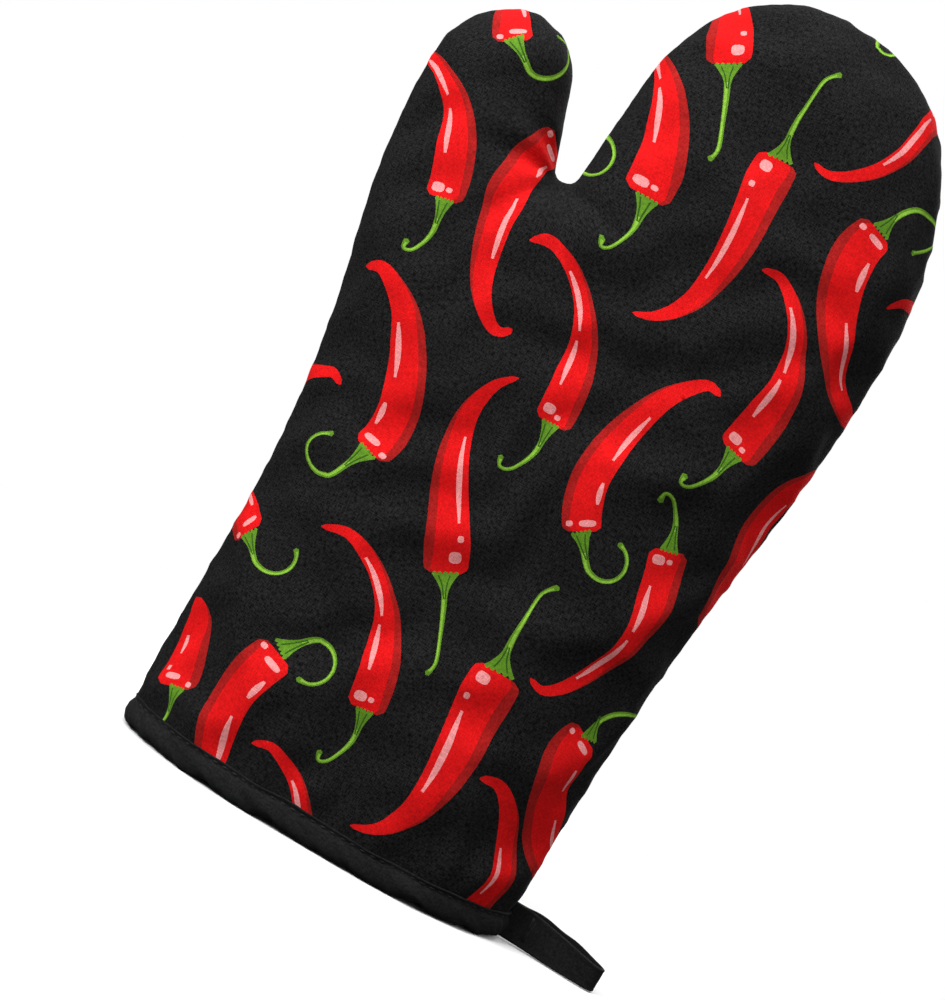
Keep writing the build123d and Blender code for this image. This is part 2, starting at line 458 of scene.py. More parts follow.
def chilli_body(spine, kind, shade_side):
    """Body, shaded band, strokes of light and blobs of light near the stem."""
    line = smooth_line(spine)
    gone = travelled(line)
    u = gone / gone[-1]
    shoulder = 0.7 + 0.3 * np.sqrt(1 - (1 - np.clip(gone / SHOULDER, 0, 1)) ** 2)
    tip = np.sqrt(1 - np.clip(1 - (gone[-1] - gone) / kind["half"][-1], 0, 0.97) ** 2)
    half = BODY_WIDTH * np.interp(u, WIDTH_AT, kind["half"]) * shoulder * tip
    shapes = [("red", ribbon(line, half, -half))]
    fade = smoothstep(-0.2, 0.15, u) * (1 - smoothstep(0.5, 0.93, u))
    shaded = slice(0, int(len(line) * 0.94))
    outer = shade_side * half * BAND[0]
    inner = shade_side * half * (BAND[0] - BAND[1] * fade)
    shapes.append(("dark_red", ribbon(line[shaded], outer[shaded], inner[shaded])))
    side = sides(line)
    for low, high, offset in kind["strokes"]:
        part = (u >= low) & (u <= high)
        share = (u[part] - low) / (high - low)
        lit = line[part] - side[part] * (shade_side * half[part] * offset)[:, None]
        thick = STROKE * np.sin(math.pi * np.clip(share, 0.08, 0.92)) ** 0.6
        shapes.append(("pink", ribbon(lit, thick, -thick)))
    for place, offset, long_radius, short_radius in kind["blobs"]:
        i = int(np.argmin(abs(gone - place)))
        centre = line[i] - side[i] * shade_side * offset * half[i]
        shapes.append(("pink", blob(centre, side[i], long_radius, short_radius)))
    return shapes


def chilli_stem(stem, cap_width):
    """A stem that starts as a scalloped cap on the body, with a light side and dark veins."""
    line = smooth_line(stem, 0.9)
    ahead = unit(line[1] - line[0])
    line = np.concatenate([[line[0] - ahead * CAP_OVERLAP], line])
    gone = travelled(line)
    end = gone[-1]
    half = STEM_HALF - 0.35 * smoothstep(5, end * 0.7, gone) + 0.3 * smoothstep(end - 2.5, end, gone)
    half = half + (cap_width / 2 - half) * np.clip(1 - gone / CAP_LENGTH, 0, 1) ** 1.7
    tip = line[-1] + unit(line[-1] - line[-2]) * 0.5
    shapes = [("green", np.insert(ribbon(line, half, -half), len(line), tip, axis=0))]
    start = (gone > CAP_LENGTH * 0.8) & (gone < end - 0.4)
    shapes.append(("light_green", ribbon(line[start], half[start] * 0.25, -half[start] * 0.72)))
    across = np.array([-ahead[1], ahead[0]])
    share = np.linspace(0, 1, 4 * SCALLOPS + 1)
    bulge = -0.75 * np.abs(np.sin(share * SCALLOPS * math.pi))
    scallop = line[0] + across * ((1 - 2 * share) * cap_width / 2)[:, None] + ahead * bulge[:, None]
    shapes.append(("green", np.concatenate([scallop, line[:1] + ahead * 1.5])))
    for offset in (-0.5, 0.35):
        vein_start = line[0] + across * offset * cap_width / 2 + ahead * 0.5
        vein = smooth_line([vein_start, line[0] + ahead * 3.6 + across * offset * 1.6,
                            line[0] + ahead * 7.6 + across * offset * 0.5], 1.0)
        shapes.append(("dark_green", ribbon(vein, 0.2, -0.2)))
    return shapes


def ring(start, centre, radius, first, last):
    """A stem that curls round a ring: its start, then an arc between two angles in degrees."""
    angles = np.radians(np.linspace(first, last, 9))
    arc = [(centre[0] + radius * math.cos(a), centre[1] + radius * math.sin(a)) for a in angles]
    return [start] + arc


# each pepper: spine from stem to tip, kind, which side is shaded, stem, and where the print's
# repeat puts it: 0 is here, 1 is one repeat lower, and a part of a repeat is where the cloth is
# pulled a little; the places and curves follow the print of the mitt in the photograph
PEPPERS = [
    # thumb, running off its tip
    ([(-70.5, 240.4), (-75.5, 248.5), (-81, 258), (-85, 270), (-87, 285), (-86, 300)],
     RING_STEMMED, 1, ring((-69.8, 241), (-58.6, 241.6), 6.8, 225, 454), (0,)),
    # beside the thumb, hooked stem down
    ([(-64.3, 187), (-65.3, 193.4), (-67.9, 201), (-72.3, 209.7), (-77.3, 216.1), (-84.9, 221.3),
      (-94, 224), (-102, 223)],
     SLIM, -1, [(-63.4, 186), (-61.9, 176), (-64.4, 168.6), (-67, 167.8), (-67.2, 170.2)], (0,)),
    # finger pocket's inner side
    ([(-9.8, 219.8), (-10.8, 227), (-12.4, 234), (-15.4, 242), (-19.3, 249.8), (-26.2, 257.2),
      (-34, 262.4), (-42, 264.8), (-50, 262.4)],
     SLIM, -1, [(-9.4, 218.5), (-8.2, 209), (-11.4, 200.5), (-14.4, 199), (-15.2, 201.6)], (0, 1)),
    # thumb's root, upside down
    ([(-41.9, 219.8), (-44.7, 213), (-47.2, 203.8), (-47.2, 194), (-45.3, 183.6), (-41.7, 172.6),
      (-36.8, 165), (-31, 160.4), (-27.3, 160.4), (-25, 162.8)],
     RING_STEMMED, -1, ring((-41, 222), (-31, 222.8), 6.8, 120, -100), (0, 0.99)),
    # finger pocket's outer side
    ([(57.6, 246.6), (55.2, 238.8), (55.8, 228.6), (60, 217.3), (65.3, 207.6), (72, 198),
      (79, 191.5), (87, 187)],
     RING_STEMMED, -1,
     [(58.6, 248), (60.6, 253.4), (65, 258.6), (72, 257.2), (74, 250), (70.2, 246.2)], (0,)),
    # middle of the palm
    ([(0.4, 143.6), (0.2, 149), (-0.6, 157.5), (-3.2, 169.5), (-9.3, 180.2), (-15.8, 186.7),
      (-22.9, 190.8), (-29.5, 191.8), (-34.4, 189.2)],
     SLIM, -1, [(0.2, 142.4), (0.4, 133), (-3.4, 125.2), (-7, 124.2), (-8, 127)], (0,)),
    # right of the palm
    ([(54.8, 164.4), (56.4, 172), (57.5, 182), (57.2, 191.6), (54.4, 201.8), (49.1, 210.6),
      (43, 216.6), (38, 219), (32.6, 218)],
     SLIM, -1, [(54.2, 163.4), (51.8, 155), (47.2, 148.4), (44, 148.2), (44.2, 150.8)], (0,)),
    # left of the palm
    ([(-44.6, 107.6), (-42.6, 114.5), (-42.9, 124.2), (-46.4, 134), (-51, 142.8), (-56.8, 151),
      (-63.7, 156.5), (-69.4, 159), (-74.6, 156.8)],
     RING_STEMMED, -1, ring((-45.2, 106.4), (-55.2, 100.2), 6.5, -40, -255), (0,)),
    # right of the middle, tip up
    ([(25.4, 119.4), (21.8, 126.2), (19.4, 135.4), (20.1, 146.6), (22.7, 157.6), (26.8, 168),
      (32.4, 175.4), (37.2, 178.9), (41.4, 177.6)],
     RING_STEMMED, 1, ring((26.2, 118.2), (36.8, 115.6), 6.5, 220, 440), (-1.02, 0, 1)),
    # top of the finger pocket, straight stem up
    ([(20.2, 251), (20.2, 243), (21, 233.4), (21.9, 222.4), (21.6, 211.2), (19.4, 200.3),
      (14.9, 192.4), (9.7, 188), (4.6, 186.4)],
     STRAIGHT, 1, [(20, 252.4), (18.8, 262), (19, 270), (19.8, 279), (23.2, 283)], (0, 1)),
    # right of the palm, upside down
    ([(53, 128), (55.2, 121), (56.3, 110.5), (55.9, 100.4), (54.1, 90.9), (50.6, 81.2),
      (45.5, 73.8), (39.9, 70.4), (34.8, 72)],
     SLIM, 1, [(52.6, 129), (50.4, 136.4), (45.4, 142.4), (42, 142.8), (42, 140)], (0,)),
    # low middle, straight stem down, and again at the top left of the finger pocket
    ([(-4.6, 86.6), (-8, 93.6), (-12.5, 102.2), (-17.2, 110.9), (-21.3, 120.8), (-23.5, 131.3),
      (-22.7, 139.6), (-20, 146.2), (-15.6, 150.6)],
     STRAIGHT, 1, [(-4, 85.6), (0, 78), (4, 69), (7, 61), (6.2, 57)], (-1, 0)),
]
# peppers at the front's edges, where the cloth is pulled off the print's repeat; the back
# leaves them out
EDGE_PEPPERS = [
    # left edge, a tip
    ([(-98, 66), (-95, 80), (-90, 93), (-84, 105), (-77, 115), (-70, 121.4), (-66.5, 122.8),
      (-63.4, 120.8)],
     RING_STEMMED, 1, None, (0,)),
    # right edge, a large body
    ([(73.4, 107), (72.4, 121), (72.8, 135), (73.7, 150), (76.6, 164), (82.6, 173.6), (91, 180)],
     BROAD, 1, None, (0,)),
    # right edge, a tip
    ([(105, 190), (104, 205), (98, 217), (90, 225.5), (80.3, 231), (75.4, 231), (71.6, 227.2)],
     SLIM, -1, None, (0,)),
    # left edge of the cuff
    ([(-60, 13.4), (-61.4, 20), (-62.8, 26), (-64.3, 31), (-65.8, 36), (-67.8, 41)],
     BROAD, -1, [(-59, 12.6), (-58, 4), (-60, -4)], (0,)),
    # left edge, above the cuff
    ([(-63.4, 66.6), (-68.6, 72.4), (-75, 81), (-81, 92), (-85, 105), (-87, 120)],
     RING_STEMMED, 1, ring((-62.6, 66), (-53.6, 65.4), 6.4, 225, 400), (0,)),
    # top right of the finger pocket
    ([(50, 306), (54, 298), (56, 290), (54.8, 282.7), (53.2, 272), (48, 262.8), (41.2, 256.6),
      (35, 254.2), (30, 255.6)],
     SLIM, 1, None, (0,)),
    # right edge, above the cuff
    ([(59.6, 64.8), (57.2, 57), (58.6, 46.4), (62.8, 34.8), (67.7, 24.2), (73.6, 15), (82, 9),
      (92, 6)],
     BROAD, -1, [(60.6, 65.8), (61, 71), (64.4, 76.6), (68.9, 78.8), (74, 77.4)], (0,)),
    # right of the cuff, a tip
    ([(50, -21), (53.2, -13), (56, -4.6), (57.9, 4.4), (58.6, 15.6), (54.9, 26.3),
      (48.6, 34.8), (43, 38.2), (36.8, 37.2)],
     RING_STEMMED, -1, None, (0,)),
    # left of the cuff's middle, a tip
    ([(4.5, -39), (4.4, -25), (2, -13), (-4.2, -2), (-10.2, 5.6), (-17.4, 10.3), (-24, 12.8),
      (-30, 10.4)],
     SLIM, -1, None, (0,)),
]


def pepper_shapes(spine, kind, shade_side, stem):
    """Every ink shape of one pepper, in painting order."""
    shapes = chilli_body(spine, kind, shade_side)
    if stem is not None:
        shapes += chilli_stem(stem, kind["cap"])
    return shapes


def front_print(outline):
    """Every ink shape of the front's print, on the chart, along lines seen by the camera."""
    shapes = []
    for spine, kind, shade_side, stem, repeats in PEPPERS + EDGE_PEPPERS:
        for repeat in repeats:
            moved = PRINT_SHIFT + repeat * PRINT_REPEAT
            flat = [line and unfold(outline, smooth_line(line, 2.5) + moved) for line in (spine, stem)]
            shapes += pepper_shapes(flat[0], kind, shade_side, flat[1])
    return shapes


def back_print():
    """The same print on the back, further along the fabric and the right way round there."""
    shapes = []
    for spine, kind, shade_side, stem, _ in PEPPERS:
        for repeat in range(-1, 3):
            moved = BACK_SHIFT + repeat * PRINT_REPEAT
            shapes += [(ink, (shape + moved) * [-1, 1])
                       for ink, shape in pepper_shapes(spine, kind, shade_side, stem)]
    return shapes


def inside_box(shape, low, high):
    """True where a shape's box and another box meet."""
    return (shape.max(0) > low).all() and (shape.min(0) < high).all()


# ---- panels ---------------------------------------------------------------------------------
PANEL_GRID = 1.9                    # spacing of the shell cloth's own points
HIDDEN_GRID = 3.6                   # the same for batting and lining
CUFF_TUCK = 2.0                     # height of the panels' cut edge, inside the binding
LINING_GAP = 0.5                    # between the batting's inside and the lining
LINING_PINCH = 0.9                  # how far the binding's stitches pull the lining out
BATTING_PINCH = 1.7                 # the same for the batting's inside
LINING_CRUMPLE = 0.35


def cloth_points(outline, low, high, grid):
    """Free points in rows over the panel, clear of its edge."""
    xs = np.arange(low[0], high[0], grid)
    zs = np.arange(low[1] + grid, high[1], grid * 0.87)
    rows = [np.stack([xs + (i % 2) * grid / 2, np.full(len(xs), z)], 1)
            for i, z in enumerate(zs)]
    places = np.concatenate(rows)
    distance, _, _, wrap, _ = outline.nearest(places)
    return places[distance + wrap > grid * 0.5]


def panel_edge(outline, grid):
    """The flat panel's whole edge, closed along the cuff."""
    edge = outline.flat()
    edge = edge[edge[:, 1] > CUFF_TUCK]
    left, right = edge[0, 0], edge[-1, 0]
    hem = np.arange(right, left, -grid)
    cuff = np.stack([hem, np.full(len(hem), CUFF_TUCK)], 1)
    return np.concatenate([edge, cuff, [[left, CUFF_TUCK]]])


def flat_area(outline):
    """Area of the flat panel in square metres."""
    edge = panel_edge(outline, HIDDEN_GRID)
    after = np.roll(edge, -1, axis=0)
    return abs((edge[:, 0] * after[:, 1] - edge[:, 1] * after[:, 0]).sum()) / 2 * MM ** 2


def inside_shape(shape, places):
    """True for the places that a closed shape winds round."""
    turns = np.zeros(len(places), dtype=int)
    x, z = places[:, 0], places[:, 1]
    for (x0, z0), (x1, z1) in zip(shape, np.roll(shape, -1, axis=0)):
        left = (x1 - x0) * (z - z0) - (x - x0) * (z1 - z0) > 0
        turns += (z0 <= z) & (z1 > z) & left
        turns -= (z0 > z) & (z1 <= z) & ~left
    return turns != 0


def cut_panel(outline, shapes, grid):
    """Cuts the print's outlines into the flat panel: its points, triangles and ink numbers."""
    edge = panel_edge(outline, grid)
    low, high = edge.min(0), edge.max(0)
    shapes = [(ink, shape) for ink, shape in shapes if inside_box(shape, low, high)]
    points, edges, total = [], [], 0
    for shape in [edge] + [shape for _, shape in shapes]:
        points.append(shape)
        edges += [(total + i, total + (i + 1) % len(shape)) for i in range(len(shape))]
        total += len(shape)
    points.append(cloth_points(outline, low, high, grid))
    flat = [Vector(p) for p in np.concatenate(points)]
    result = delaunay_2d_cdt(flat, edges, [], 0, 1e-4, False)
    places = np.array([p[:] for p in result[0]])
    triangles = np.array(result[2])
    middles = places[triangles].mean(axis=1)
    colours = np.zeros(len(triangles), dtype=int)
    for ink, shape in shapes:
        near = ((middles >= shape.min(0)) & (middles <= shape.max(0))).all(1)
        rows = np.flatnonzero(near)
        colours[rows[inside_shape(shape, middles[rows])]] = INKS.index(ink)
    kept = inside_shape(edge, middles)
    used, renumbered = np.unique(triangles[kept], return_inverse=True)
    triangles = renumbered.reshape(-1, 3)
    return places[used], [tuple(t) for t in triangles.tolist()], colours[kept]


def make_mesh(name, points, faces, slots=None):
    """A new mesh object in metres from points in millimetres."""
    mesh = bpy.data.meshes.new(name)
    mesh.from_pydata([tuple(p) for p in np.asarray(points) * MM], [], faces)
    if slots is not None:
        mesh.polygons.foreach_set("material_index", slots)
    mesh.polygons.foreach_set("use_smooth", [True] * len(mesh.polygons))
    mesh.update()
    piece = bpy.data.objects.new(name, mesh)
    bpy.context.scene.collection.objects.link(piece)
    return piece


def lay_threads(piece, chart):
    """Keeps the flat chart as a UV map, in metres, for the direction of the cloth's threads."""
    layer = piece.data.uv_layers.new(name=THREAD_MAP)
    corners = np.empty(len(piece.data.loops), dtype=int)
    piece.data.loops.foreach_get("vertex_index", corners)
    layer.data.foreach_set("uv", (np.asarray(chart)[corners] * MM).ravel())


def facing(triangles, side):
    """Triangles turned to face out of the mitt."""
    return triangles if side == FRONT else [t[::-1] for t in triangles]


def make_panel(name, outline, side, shapes, materials):
    """One printed panel, folded up to the mitt's form."""
    chart, triangles, colours = cut_panel(outline, shapes, PANEL_GRID)
    places = fold_up(outline, chart, side)
    piece = make_mesh(name, places, facing(triangles, side), colours)
    lay_threads(piece, chart)
    for ink in INKS:
        piece.data.materials.append(materials[ink])
    return piece


def make_lining(name, outline, side, material):
    """One half of the lining, smooth and slack inside the batting."""
    chart, triangles, _ = cut_panel(outline, [], HIDDEN_GRID)
    depth = LINING_DEPTH - LINING_PINCH * cuff_pinch(chart[:, 1])
    crumple = LINING_CRUMPLE * unevenness.at(chart + side * 90) * smoothstep(0, 12, chart[:, 1])
    distance, _, _, wrap, _ = outline.nearest(chart)
    depth = depth + crumple * smoothstep(0, 10, distance + wrap)
    places = fold_up(outline, chart, side, depth, relief=False)
    piece = make_mesh(name, places, facing(triangles, -side))
    lay_threads(piece, chart)
    piece.data.materials.append(material)
    return piece


def make_batting(name, outline, side, material):
    """One half of the wadding: a closed quilted layer between the shell and the lining."""
    chart, triangles, _ = cut_panel(outline, [], HIDDEN_GRID)
    outer = fold_up(outline, chart, side, BATTING_TOP)
    inside = LINING_DEPTH - LINING_GAP - BATTING_PINCH * cuff_pinch(chart[:, 1])
    inner = fold_up(outline, chart, side, inside, relief=False)
    count = len(chart)
    turned = facing(triangles, side)
    edges = {}
    for a, b, c in turned:
        for edge in ((a, b), (b, c), (c, a)):
            edges[edge] = True
    rim = [(b, a, a + count, b + count) for a, b in edges if (b, a) not in edges]
    under = [[i + count for i in t[::-1]] for t in turned]
    piece = make_mesh(name, np.concatenate([outer, inner]), turned + under + rim)
    piece.data.materials.append(material)
    return piece


# ---- simulated folds ----------------------------------------------------------------------------
SIM_GRID = 4.0                      # spacing of the simulated cloth's points
SIM_FRAMES = 20
SIM_GROWTH = 0.045                  # how much more cloth there is than the form needs
SIM_BROAD = 17.0                    # swelling wider than this is the form's own
SIM_CAP = 2.4                       # farthest that the simulation may move the cloth
SIM_SHARE = 0.62                    # share of the simulated folds which is kept
HELD_AT_SEAM = 5                    # how far from the seam the cloth is held
HELD_AT_CUFF = (10, 18)             # heights where the cuff's hold starts to fade and ends
SIM_CLOTH = {                       # the cloth modifier's settings
    "quality": 6,
    "mass": 0.25,
    "tension_stiffness": 25,
    "compression_stiffness": 25,
    "shear_stiffness": 8,
    "bending_stiffness": 0.15,
    "air_damping": 2,
    "use_pressure": True,
    "uniform_pressure_force": 4.0,
    "shrink_min": -SIM_GROWTH,
    "vertex_group_mass": "sewn",
}


class Settled:
    """How far the simulated cloth stands out of its own smooth form, over one panel's chart."""

    def __init__(self, chart, height):
        self.chart = chart
        broad = self.blurred(chart, height, SIM_BROAD)
        self.height = SIM_SHARE * np.clip(height - broad, -SIM_CAP, SIM_CAP)

    def blurred(self, places, height, spread):
        """Heights at places, each the mean of those near it."""
        out = np.empty(len(places))
        for low in range(0, len(places), 2000):
            part = places[low:low + 2000]
            gap = ((part[:, None] - self.chart[None]) ** 2).sum(2)
            share = np.exp(-gap / (2 * spread ** 2)) + 1e-12
            out[low:low + 2000] = share @ height / share.sum(1)
        return out

    def at(self, places):
        """Heights at places on the chart."""
        return self.blurred(places, self.height, SIM_GRID * 0.6)


def settle_cloth(outline):
    """Lets slightly too much shell cloth settle over the padding, sewn at the seams and cuff."""
    chart, triangles, _ = cut_panel(outline, [], SIM_GRID)
    distance, _, _, wrap, _ = outline.nearest(chart)
    on_seam = distance + wrap < 0.01
    count = len(chart)
    behind = np.where(on_seam, np.arange(count), count + np.cumsum(~on_seam) - 1)
    front = fold_up(outline, chart, FRONT)
    back = fold_up(outline, chart, BACK)
    points = np.concatenate([front, back[~on_seam]])
    back_faces = [tuple(behind[list(t)].tolist()) for t in facing(triangles, BACK)]
    faces = facing(triangles, FRONT) + back_faces
    piece = make_mesh("settling_cloth", points, faces)
    pins = piece.vertex_groups.new(name="sewn")
    held = np.maximum(1 - smoothstep(0, HELD_AT_SEAM, distance + wrap),
                      1 - smoothstep(*HELD_AT_CUFF, chart[:, 1]))
    for i in range(count):
        pins.add([i, int(behind[i])], float(held[i]), "REPLACE")
    moved = simulate(piece)
    for side, rest, index in ((FRONT, front, np.arange(count)), (BACK, back, behind)):
        outward = fold_up(outline, chart, side, -1.0) - rest     # one millimetre long
        settled[side] = Settled(chart, ((moved[index] - rest) * outward).sum(1))


def simulate(piece):
    """Runs the cloth modifier on the piece, removes both, and gives the points it ended with."""
    cloth = piece.modifiers.new("cloth", "CLOTH")
    for setting, value in SIM_CLOTH.items():
        setattr(cloth.settings, setting, value)
    cloth.settings.effector_weights.gravity = 0
    scene = bpy.context.scene
    for frame in range(1, SIM_FRAMES + 1):
        scene.frame_set(frame)
    result = piece.evaluated_get(bpy.context.evaluated_depsgraph_get()).data
    moved = np.array([tuple(v.co) for v in result.vertices]) / MM
    scene.frame_set(1)
    bpy.data.objects.remove(piece)
    return moved


# ---- binding, stitches and hanging loop --------------------------------------------------------
CUFF_STEP = 1.2                     # spacing of the binding's rings round the cuff
STITCH_HEIGHT = 7.7                 # middle of the row of stitches
STITCH_PITCH = 3.4
STITCH_LENGTH = 2.5
STITCH_THREAD = 0.75                # thickness of the thread
OUTER_LEAF, INNER_LEAF = -0.3, 4.1  # depths that the stitches lie at
# the tape's section, from the top of its outer leaf round the rim to the top of its inner leaf:
# depth under the shell's surface, height above the rim
BINDING_SECTION = [
    (0.1, 8.9), (-0.55, 9.0), (-0.85, 8.6), (-0.3, 7.7), (-0.8, 6.8), (-1.3, 5.4), (-1.5, 3.6),
    (-1.25, 1.8), (-0.3, 0.45), (1.3, 0.0), (3.0, 0.05), (4.4, 0.6), (5.1, 1.9), (5.3, 3.6),
    (5.1, 5.4), (4.6, 6.8), (4.1, 7.7), (4.6, 8.6), (4.3, 9.0), (3.7, 8.9),
]
pucker_tape = Waves(9, 8.0)
tape_edge = Waves(10, 21.0)


def smooth_ring(points, step):
    """A closed curve through the points, sampled every step."""
    p = np.array(points, float)
    line = smooth_line(np.concatenate([p[-2:], p, p[:2]]), step)
    first = int(np.argmin(np.linalg.norm(line - p[0], axis=1)))
    ends = np.linalg.norm(line - p[-1], axis=1)
    last = len(line) - 1 - int(np.argmin(ends[::-1]))
    closing = smooth_line(np.array([p[-1], p[0]]), step)
    return np.concatenate([line[first:last], closing[:-1]])


def round_the_cuff(step):
    """Chart X and side of evenly spaced places round the cuff, from the thumb's side."""
    reach = CUFF_HALF_WIDTH + CUFF_WRAP
    half = round(2 * reach / step)
    share = np.arange(half) / half
    x = np.concatenate([-reach + 2 * reach * share, reach - 2 * reach * share])
    return x, np.repeat([FRONT, BACK], half)


def on_cuff(outline, x, sides, height, depth):
    """Places at a height and depth round the cuff."""
    chart = np.stack([x, np.broadcast_to(height, len(x))], axis=1)
    depth = np.broadcast_to(depth, len(x))
    places = np.empty((len(x), 3))
    for side in (FRONT, BACK):
        mine = sides == side
        places[mine] = fold_up(outline, chart[mine], side, depth[mine])
    return places


def tube_faces(rings, across, close_along):
    """Quads of a tube of rings; close_along joins the last ring to the first."""
    faces = []
    for i in range(rings if close_along else rings - 1):
        for j in range(across):
            a, b = i * across + j, i * across + (j + 1) % across
            c, d = (b + across) % (rings * across), (a + across) % (rings * across)
            faces.append((a, b, c, d))
    return faces


def make_binding(outline, material):
    """The tape folded over the cuff's raw edges, puckered by its stitches."""
    x, sides = round_the_cuff(CUFF_STEP)
    along = np.arange(len(x)) * CUFF_STEP
    rows = []
    for depth, height in smooth_ring(BINDING_SECTION, 0.45):
        belly = math.exp(-((height - 4.2) / 3.2) ** 2) if depth < 1 else 0.5
        ripple = pucker_tape.along(along + height * 0.9)
        edge = tape_edge.along(along) * 0.22 * smoothstep(5, 9, height)
        deep = depth - 0.3 * ripple * belly
        lifted = height + edge + 0.4 * (1 + ripple) * math.exp(-(height / 2.5) ** 2)
        rows.append(on_cuff(outline, x, sides, lifted, deep))
    rows = np.stack(rows, axis=1)
    piece = make_mesh("binding_tape", rows.reshape(-1, 3), tube_faces(len(x), rows.shape[1], True))
    piece.data.materials.append(material)
    return piece


def make_stitches(name, path, outward, pitch, length, thickness, material, closed=True):
    """A row of separate stitches along a path, each an arched bead of thread."""
    if closed:
        path = np.concatenate([path, path[:1]])
        outward = np.concatenate([outward, outward[:1]])
    gone = travelled(path)
    count = int(gone[-1] / pitch)
    pitch = gone[-1] / count
    stations = np.linspace(0, 1, 6)
    swell = np.sin(math.pi * stations)
    spin = np.linspace(0, 2 * math.pi, 6, endpoint=False)
    points, faces = [], []
    for k in range(count):
        at = k * pitch + 0.1 + stations * length
        centre = np.stack([np.interp(at, gone, path[:, i]) for i in range(3)], 1)
        rise = unit(np.stack([np.interp(at, gone, outward[:, i]) for i in range(3)], 1))
        across = unit(np.cross(rise, np.gradient(centre, axis=0)))
        centre = centre + rise * (swell * thickness * 0.4 - thickness * 0.35)[:, None]
        radius = thickness / 2 * (0.45 + 0.55 * swell)
        start = len(points)
        for c, r, a, size in zip(centre, rise, across, radius):
            points.extend(c + size * (math.cos(t) * a + math.sin(t) * r) for t in spin)
        faces += [tuple(start + i for i in f) for f in tube_faces(len(stations), len(spin), False)]
        faces.append(tuple(start + i for i in range(len(spin)))[::-1])
        faces.append(tuple(start + (len(stations) - 1) * len(spin) + i for i in range(len(spin))))
    piece = make_mesh(name, points, faces)
    piece.data.materials.append(material)
    return piece


def make_cuff_stitches(outline, name, depth, material):
    """The row of stitches through the binding, as it shows on one of its leaves."""
    x, sides = round_the_cuff(CUFF_STEP)
    path = on_cuff(outline, x, sides, STITCH_HEIGHT, depth)
    step = 0.5 if depth < 1 else -0.5
    outward = on_cuff(outline, x, sides, STITCH_HEIGHT, depth - step) - path
    return make_stitches(name, path, unit(outward), STITCH_PITCH, STITCH_LENGTH, STITCH_THREAD,
                         material)


LOOP_TAPE_WIDTH = 11.6
LOOP_TAPE_THICKNESS = 1.1
TACK_STITCHES = 9                   # across each leg of the loop
TACK_START = 3.4                    # hinge line to the first of them
TACK_PITCH = 0.16
TACK_WANDER = 0.25
TACK_LEAN = 0.3
TACK_MIDDLE = 6.8                   # height of their middles
TACK_THREAD = 0.42                  # thickness of the thread
TACK_CLEAR = 0.02                   # how far they stand off the tape
LEG_PLACE = 0.9                     # plane of the side seams to the middle of a leg's tape
BARTACK_PLACE = 4.0                 # hinge line to the middle of the bartack
# middle line of the tape, from its front end round the far fold to its back end: X from the
# hinge line, Y, Z, how far the tape leans out at its top, share of its full width
LOOP_ROUTE = [
    (-4.2, -0.85, 6.5, 0.0, 1.0), (0.5, -0.85, 6.4, 0.0, 1.0), (4.5, -0.95, 6.2, 0.1, 1.0),
    (10, -1.4, 5.7, 0.4, 0.95), (17, -2.7, 5.1, 0.8, 0.87), (23, -3.7, 4.6, 1.0, 0.78),
    (28, -3.6, 4.2, 0.8, 0.7), (30.2, -1.8, 4.1, 0.5, 0.66), (30.4, 0.6, 4.1, 0.2, 0.64),
    (29.2, 2.8, 4.2, -0.3, 0.66), (25, 3.8, 4.6, -0.6, 0.76), (18, 3.0, 5.4, -0.6, 0.86),
    (11, 1.5, 6.2, -0.2, 0.95), (4.5, 0.95, 6.7, 0.0, 1.0), (0.5, 0.85, 6.6, 0.0, 1.0),
    (-4.2, 0.85, 6.5, 0.0, 1.0),
]
# half of the tape's section: share of the width from its middle, share of the thickness
TAPE_SECTION = [
    (0.0, 0.46), (0.30, 0.42), (0.40, 0.40), (0.44, 0.50), (0.48, 0.48), (0.5, 0.2),
]


def tape_section():
    """Closed section of folded tape, a little thicker along its folded edges."""
    top = [(-u, v) for u, v in TAPE_SECTION[::-1]] + TAPE_SECTION[1:]
    return np.array(top + [(u, -v) for u, v in top[::-1]])


def make_loop(hinge, material):
    """The hanging loop: one strip of folded tape, both ends sewn in under the binding."""
    line = smooth_line(LOOP_ROUTE, 0.9)
    route = line[:, :3] + [hinge[0], hinge[1], 0]
    ahead = unit(np.gradient(route, axis=0))
    lean = line[:, 3]
    up = unit(np.stack([np.zeros(len(route)), -lean / LOOP_TAPE_WIDTH * 2, np.ones(len(route))], 1))
    across = unit(np.cross(up, ahead))
    section = tape_section()
    wobble = line[:, 4] + 0.015 * Waves(12, 9.0).along(travelled(route))
    rows = (route[:, None]
            + up[:, None] * (section[:, 0] * LOOP_TAPE_WIDTH)[None, :, None] * wobble[:, None, None]
            + across[:, None] * (section[:, 1] * LOOP_TAPE_THICKNESS)[None, :, None])
    rings, count = rows.shape[:2]
    faces = tube_faces(rings, count, False)
    faces.append(tuple(range(count))[::-1])
    faces.append(tuple((rings - 1) * count + i for i in range(count)))
    piece = make_mesh("loop_tape", rows.reshape(-1, 3), faces)
    piece.data.materials.append(material)
    return piece


